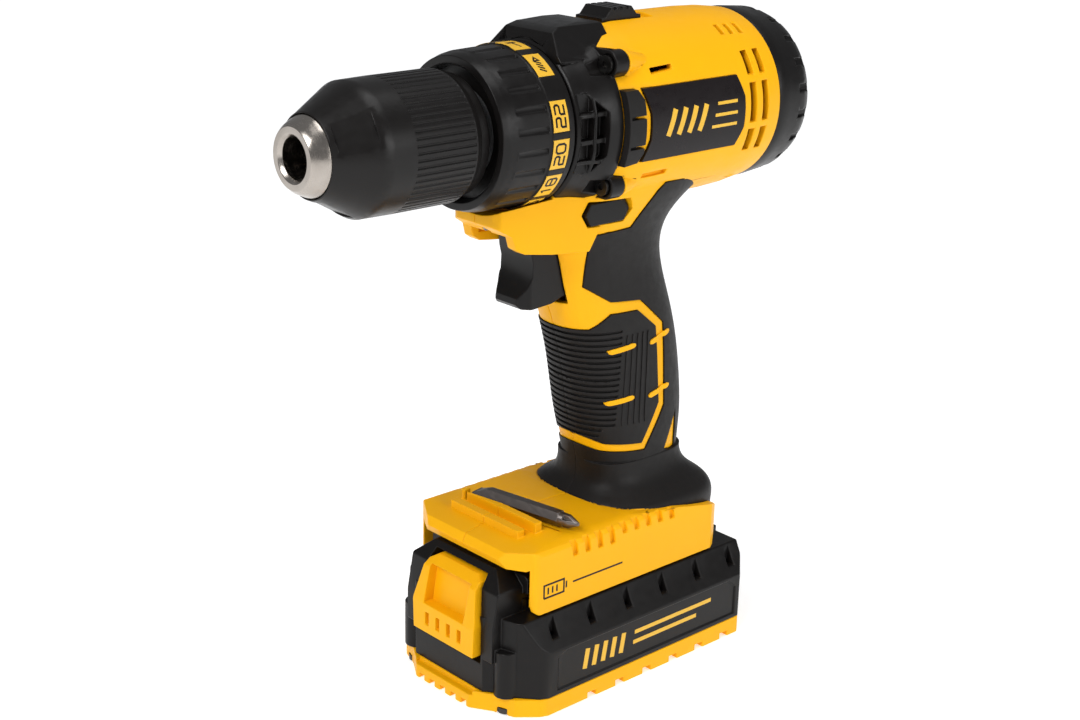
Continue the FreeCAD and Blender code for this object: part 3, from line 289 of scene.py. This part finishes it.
# Each plastic: colour, its deeper drift, its worn colour, roughness, grain size and grain depth in mm.
# Each metal: colour, its stained colour, roughness, tool-line pitch and depth in mm.
finishes = {
    "yellow_shell": plastic(
        "yellow_nylon", (0.91, 0.445, 0.002), (0.86, 0.405, 0.002), (0.96, 0.54, 0.03),
        0.40, 0.28, 0.03, specular=0.15),
    "black_shell": plastic(
        "black_nylon", (0.0045, 0.0039, 0.0037), (0.0060, 0.0052, 0.0050), (0.022, 0.021, 0.020),
        0.33, 0.30, 0.02, specular=0.2, rubbing=0.2, scratches=0.05),
    "soft_grip": plastic(
        "grip_rubber", (0.0065, 0.0056, 0.0052), (0.010, 0.0088, 0.0084), (0.035, 0.034, 0.033),
        0.50, 0.22, 0.05, specular=0.20),
    "chuck_black": plastic(
        "chuck_nylon", (0.0058, 0.0050, 0.0047), (0.0075, 0.0066, 0.0062), (0.03, 0.0285, 0.027),
        0.34, 0.35, 0.02, specular=0.22, rubbing=0.25, scratches=0.06),
    "badge_black": plastic(
        "badge_film", (0.0075, 0.0052, 0.0058), (0.0095, 0.007, 0.0075), (0.03, 0.03, 0.03),
        0.30, 0.18, 0.008, rubbing=0.15, scratches=0.04, specular=0.18),
    "label_yellow": plastic(
        "label_print", (0.80, 0.46, 0.02), (0.72, 0.40, 0.02), (0.9, 0.6, 0.12),
        0.42, 0.15, 0.01, rubbing=0.2),
    "bright_steel": metal(
        "turned_steel", (0.40, 0.365, 0.33), (0.24, 0.21, 0.185), 0.21, 0.16, 0.010, stain=0.45),
    "dark_steel": metal(
        "bit_steel", (0.17, 0.15, 0.14), (0.10, 0.085, 0.075), 0.36, 0.4, 0.01,
        worn=(0.42, 0.40, 0.38)),
    "gear_steel": metal(
        "sintered_steel", (0.42, 0.41, 0.40), (0.30, 0.28, 0.26), 0.38, 0.25, 0.01),
    "black_screw": metal(
        "blackened_screw", (0.06, 0.058, 0.056), (0.035, 0.033, 0.03), 0.34, 0.2, 0.008,
        worn=(0.35, 0.33, 0.31)),
    "copper": metal(
        "enamelled_copper", (0.62, 0.23, 0.10), (0.42, 0.13, 0.05), 0.28, 0.45, 0.05,
        worn=(0.85, 0.45, 0.28)),
    "magnet_grey": plastic(
        "ferrite", (0.045, 0.045, 0.047), (0.06, 0.058, 0.056), (0.12, 0.12, 0.12),
        0.62, 0.4, 0.05),
    "gearcase_grey": plastic(
        "gearcase_nylon", (0.09, 0.09, 0.092), (0.07, 0.07, 0.072), (0.2, 0.2, 0.2),
        0.48, 0.3, 0.04),
    "bronze": metal(
        "sintered_bronze", (0.55, 0.34, 0.15), (0.38, 0.21, 0.09), 0.42, 0.3, 0.01,
        worn=(0.75, 0.55, 0.3)),
    "terminal_metal": metal(
        "tinned_terminal", (0.66, 0.62, 0.52), (0.5, 0.45, 0.36), 0.26, 0.3, 0.006),
    "cell_wrap": plastic(
        "cell_sleeve", (0.02, 0.12, 0.30), (0.015, 0.09, 0.24), (0.2, 0.3, 0.5),
        0.30, 0.5, 0.01),
    "board_green": plastic(
        "board_lacquer", (0.01, 0.10, 0.035), (0.008, 0.075, 0.028), (0.1, 0.3, 0.15),
        0.28, 0.4, 0.01),
}


def clear_lens():
    """Clear acrylic over the work light."""
    material, b, shader = start_material("clear_lens")
    skin = use(b, grain, Size=0.8, Depth=1.0)
    tint = b.blend(skin["Mottle"], (0.93, 0.95, 0.97, 1), (0.86, 0.90, 0.94, 1))
    b.wire(tint, shader.inputs["Base Color"])
    b.wire(b.remap(skin["Gloss"], 0.3, 0.7, 0.04, 0.12), shader.inputs["Roughness"])
    shader.inputs["Transmission Weight"].default_value = 0.9
    shader.inputs["IOR"].default_value = 1.49
    return material


finishes["lens_clear"] = clear_lens()

slot_of = {row["node"]: row["material_slot"] for row in frame["record"]["subparts"]}


for name, node in nodes.items():
    node.data.materials.clear()
    node.data.materials.append(finishes[slot_of[name]])


# ------------------------------------------------------------------ rounded edges

def round_edges(name, width):
    """Moulded and machined edges are never sharp."""
    weld_distance, sharpest_left = 0.02 * mm, math.radians(28)
    node = nodes[name]
    weld = node.modifiers.new("weld", "WELD")
    weld.merge_threshold = weld_distance
    bevel = node.modifiers.new("round", "BEVEL")
    bevel.width = width * mm
    bevel.segments = 2
    bevel.limit_method = "ANGLE"
    bevel.angle_limit = sharpest_left
    bevel.use_clamp_overlap = False
    normals = node.modifiers.new("normals", "WEIGHTED_NORMAL")
    normals.keep_sharp = False


softened = {  # width of the rounding in mm
    "housing_left": 0.45, "housing_right": 0.45, "rear_cap": 0.45, "gearcase_cover": 0.4,
    "torque_collar": 0.25, "chuck_sleeve": 0.22, "battery_case": 0.45, "battery_tray": 0.45,
    "battery_latch": 0.4, "speed_slider": 0.35, "trigger": 0.4, "direction_button": 0.4,
    "screwdriver_bit": 0.12, "grip_left": 0.22, "grip_right": 0.22, "chuck_body": 0.2,
}
for name, width in softened.items():
    round_edges(name, width)


# ------------------------------------------------------------------ raised and printed marks

def solid_strip(grid_top, grid_bottom, closed):
    """A thin solid band from two matching rows of (left, right) points."""
    count = len(grid_top)
    points, faces = [], []
    for (a, b), (c, d) in zip(grid_top, grid_bottom):
        points += [a, b, c, d]
    for i in range(count if closed else count - 1):
        p, q = 4 * i, 4 * ((i + 1) % count)
        faces += [(p, q, q + 1, p + 1), (p + 2, p + 3, q + 3, q + 2),
                  (p, p + 2, q + 2, q), (p + 1, q + 1, q + 3, p + 3)]
    if not closed:
        last = 4 * (count - 1)
        faces += [(0, 1, 3, 2), (last, last + 2, last + 3, last + 1)]
    return points, faces


def ribbon(path, width, closed=False, step=0.8, taper=0.0):
    """Left and right edges of a flat band along a polyline, in two dimensions.

    Points lie at most a step apart, and a taper narrows both ends.
    """
    sharpest_mitre, end_share = 0.5, 0.45
    fine = []
    pairs = list(zip(path, path[1:] + (path[:1] if closed else [])))
    if not closed:
        pairs = pairs[:len(path) - 1]
    for a, b in pairs:
        length = math.dist(a, b)
        parts = max(1, math.ceil(length / step))
        fine += [(a[0] + (b[0] - a[0]) * k / parts, a[1] + (b[1] - a[1]) * k / parts) for k in range(parts)]
    if not closed:
        fine.append(path[-1])
    edges = []
    count = len(fine)
    for i, here in enumerate(fine):
        before = fine[i - 1] if closed or i else here
        after = fine[(i + 1) % count] if closed or i < count - 1 else here
        into = Vector((here[0] - before[0], here[1] - before[1]))
        out = Vector((after[0] - here[0], after[1] - here[1]))
        into = into.normalized() if into.length else out.normalized()
        out = out.normalized() if out.length else into
        side = Vector((-(into.y + out.y), into.x + out.x)).normalized()
        stretch = 1 / max(sharpest_mitre, side.dot(Vector((-out.y, out.x))))
        half = width / 2 * stretch
        if taper and not closed:
            half *= min(1.0, end_share + min(i, count - 1 - i) * taper)
        edges.append(((here[0] + side.x * half, here[1] + side.y * half),
                      (here[0] - side.x * half, here[1] - side.y * half)))
    return edges


def make_piece(name, strips, slot, body):
    """One piece from several solid bands, riding on a body."""
    points, faces = [], []
    for strip_points, strip_faces in strips:
        start = len(points)
        points += [tuple(c * mm for c in p) for p in strip_points]
        faces += [tuple(start + k for k in face) for face in strip_faces]
    mesh = bpy.data.meshes.new(name)
    mesh.from_pydata(points, [], faces)
    work = bmesh.new()
    work.from_mesh(mesh)
    bmesh.ops.recalc_face_normals(work, faces=work.faces)
    work.to_mesh(mesh)
    work.free()
    piece = bpy.data.objects.new(name, mesh)
    bpy.context.scene.collection.objects.link(piece)
    mesh.materials.append(finishes[slot])
    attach(piece, body)
    return piece


# Each stroke is a path and whether it closes. A digit lies in a cell one across and one high,
# and the marks are in mm about their own middle.
digit_strokes = {
    "0": [([(0, .2), (.2, 0), (.8, 0), (1, .2), (1, .8), (.8, 1), (.2, 1), (0, .8)], True)],
    "1": [([(.2, .78), (.55, 1), (.55, 0)], False)],
    "2": [([(0, 1), (.85, 1), (1, .86), (1, .64), (.85, .5), (.15, .5), (0, .38), (0, 0), (1, 0)], False)],
    "4": [([(.1, 1), (0, .34), (1, .34)], False), ([(.74, .72), (.74, 0)], False)],
    "6": [([(.95, 1), (.18, 1), (0, .84), (0, .16), (.16, 0), (.84, 0), (1, .14), (1, .42), (.85, .55),
            (.05, .55)], False)],
    "8": [([(0, .18), (.18, 0), (.82, 0), (1, .18), (1, .82), (.82, 1), (.18, 1), (0, .82)], True),
          ([(.05, .52), (.95, .52)], False)],
}
drill_mark = [([(-3.4, -1.2), (-2.2, 1.2)], False), ([(-2.2, -1.2), (-1.0, 1.2)], False),
              ([(-1.0, -1.2), (0.2, 1.2)], False), ([(0.2, -1.2), (1.4, 1.2)], False),
              ([(1.7, -1.1), (1.7, 1.1), (3.4, 0)], True)]
hammer_mark = [([(-3.2, -0.9), (0.9, -0.1)], False), ([(1.1, -1.9), (1.1, 1.6)], False),
               ([(2.0, -1.9), (2.0, 1.6)], False)]


def collar_print():
    """Dark numbers and working symbols on the yellow fields of the torque collar."""
    radius, top, bottom = 28.02, 28.07, 27.95
    highest, count, number_step = 22, 11, 2
    first_angle, angle_step = 15.5, 26.4
    mid_x = 42.7
    digit_width, digit_height, gap = 3.1, 4.0, 1.1
    digit_stroke, mark_stroke = 0.72, 0.62

    def roll(edges, angle, r):
        """Lays flat points on a cylinder round the barrel's axis."""
        rolled = []
        for pair in edges:
            turns = [math.radians(angle) + across / radius for across, along in pair]
            rolled.append([(mid_x + point[1], r * math.cos(turn), barrel_axis + r * math.sin(turn))
                           for point, turn in zip(pair, turns)])
        return rolled

    def band(path, stroke, closed, angle):
        edges = ribbon(path, stroke, closed)
        return solid_strip(roll(edges, angle, top), roll(edges, angle, bottom), closed)

    strips = []
    for i in range(count):
        text = str(highest - number_step * i)
        width = len(text) * digit_width + (len(text) - 1) * gap
        for k, digit in enumerate(text):
            left = -width / 2 + k * (digit_width + gap)
            for path, closed in digit_strokes[digit]:
                placed = [(left + u * digit_width, (v - 0.5) * digit_height) for u, v in path]
                strips.append(band(placed, digit_stroke, closed, first_angle - angle_step * i))
    for angle, mark in ((55.0, drill_mark), (83.5, hammer_mark)):
        for path, closed in mark:
            strips.append(band(list(path), mark_stroke, closed, angle))
    make_piece("collar_print", strips, "badge_black", "collar_assembly")


def surface_finder(*names):
    """Returns a function that finds how far out the given nodes reach at a place on one side."""
    well_outside = 60
    points, faces = [], []
    for name in names:
        mesh = nodes[name].data
        start = len(points)
        points += [v.co.copy() for v in mesh.vertices]
        faces += [tuple(start + k for k in polygon.vertices) for polygon in mesh.polygons]
    tree = BVHTree.FromPolygons(points, faces)

    def find(x, z, side):
        place = tree.ray_cast(Vector((x, side * well_outside, z)) * mm, Vector((0, -side, 0)))[0]
        return None if place is None else place.y / mm
    return find


def side_marks(name, paths, width, proud, slot, body, under, sink=0.25, taper=0.5):
    """Bands on both sides of the drill, following the surface of the nodes under them.

    The paths are (x, z) points. A band stands proud of the surface and sinks into it, in mm.
    """
    find = surface_finder(*under)
    strips = []
    for side in (1, -1):
        for path in paths:
            upper, lower = [], []
            for left, right in ribbon(path, width, step=1.0, taper=taper):
                row = []
                for x, z in (left, right):
                    y = find(x, z, side)
                    if y is not None:
                        row.append((x, z, y))
                if len(row) == 2:
                    upper.append(tuple((x, y + side * proud, z) for x, z, y in row))
                    lower.append(tuple((x, y - side * sink, z) for x, z, y in row))
            if len(upper) > 1:
                strips.append(solid_strip(upper, lower, False))
    return make_piece(name, strips, slot, body)


def grip_marks():
    """Yellow dashes across the grip's outline, and the upright ribs between them."""
    shells, grips = ("housing_left", "housing_right"), ("grip_left", "grip_right")
    dashes = [[(5.5, 122.0), (-6.0, 123.4)], [(4.5, 101.6), (-6.5, 103.0)],
              [(-13.5, 122.5), (-25.0, 125.0)], [(-14.0, 101.6), (-25.0, 104.0)]]
    side_marks("grip_dashes", dashes, 1.9, 0.45, "yellow_shell", "housing", grips + shells)
    ribs = [[(x, 92.0), (x, 127.5)] for x in (-2.4, -5.0, -7.6, -10.2, -12.8)]
    side_marks("grip_ribs", ribs, 1.1, 0.3, "soft_grip", "housing", grips, taper=0.3)


def printed_panels():
    """Plain graphic marks where lettering would go: slanted bars, a cell outline, rules."""
    def ink(name, paths, width, slot, body, under):
        side_marks(name, paths, width, 0.04, slot, body, under, sink=0.15, taper=0)

    badge, pack, shells = ("side_badges",), ("battery_case",), ("housing_left", "housing_right")

    bars = [[(x, 203.4), (x - 3.4, 212.4)] for x in (-2.0, -7.2, -12.4, -17.6)]
    ink("badge_bars", bars, 2.3, "label_yellow", "housing", badge)
    rules = [[(start, z), (-37.0, z)] for start, z in ((-24.0, 203.9), (-25.4, 207.9), (-26.8, 211.9))]
    ink("badge_rule", rules, 1.1, "label_yellow", "housing", badge)

    bars = [[(x, 12.6), (x - 1.4, 20.4)] for x in (33.0, 28.4, 23.8, 19.2, 14.6)]
    ink("pack_level_bars", bars, 2.2, "label_yellow", "battery", pack)
    rules = [[(7.5, 18.9), (-34.0, 18.9)], [(8.2, 14.9), (-26.0, 14.9)]]
    ink("pack_rules", rules, 1.6, "label_yellow", "battery", pack)

    low, high, rear, front = 43.6, 48.6, 39.4, 49.0
    inner_low, inner_high = low + 1.2, high - 1.2
    outline = [(front, low), (front, high), (rear, high), (rear, low), (front, low)]
    strokes = [[(x, inner_low), (x, inner_high)] for x in (38.2, 47.0, 44.9, 42.8)]
    ink("foot_cell_mark", [outline] + strokes, 0.75, "badge_black", "housing", shells)
    ink("foot_rule", [[(35.0, 46.1), (10.0, 46.1)]], 0.7, "badge_black", "housing", shells)


collar_print()
grip_marks()
printed_panels()


# ------------------------------------------------------------------ floor

def lay_floor():
    """White paper with a painted glow that grows brighter away from the drill, so that no horizon shows."""
    half, below = 30.0, 0.2 * mm
    # painted glow: emission colours near the drill and far from it, and the distances in m between which
    # the glow rises
    painted_glow_near, painted_glow_far = (0.5, 0.5, 0.5, 1), (0.85, 0.85, 0.85, 1)
    near, far = 0.6, 2.5
    mesh = bpy.data.meshes.new("floor")
    corners = [(-half, -half, 0), (half, -half, 0), (half, half, 0), (-half, half, 0)]
    mesh.from_pydata(corners, [], [(0, 1, 2, 3)])
    floor = bpy.data.objects.new("floor", mesh)
    floor.location.z = -below
    bpy.context.scene.collection.objects.link(floor)
    material, b, shader = start_material("floor_paper_and_painted_glow")
    skin = use(b, grain, Size=1.5, Depth=1.0)
    paper = b.blend(skin["Mottle"], (0.93, 0.93, 0.93, 1), (0.90, 0.90, 0.90, 1))
    b.wire(paper, shader.inputs["Base Color"])
    b.wire(b.remap(skin["Gloss"], 0.3, 0.7, 0.55, 0.65), shader.inputs["Roughness"])
    shader.inputs["Specular IOR Level"].default_value = 0.1
    # painted glow: the floor emits light, weaker near the drill and stronger far away
    place = b.add("ShaderNodeNewGeometry").outputs["Position"]
    away = b.remap(b.vector("LENGTH", place), near, far)
    b.wire(b.blend(away, painted_glow_near, painted_glow_far), shader.inputs["Emission Color"])
    shader.inputs["Emission Strength"].default_value = 1.0
    mesh.materials.append(material)


place_camera()
light_studio()
lay_floor()
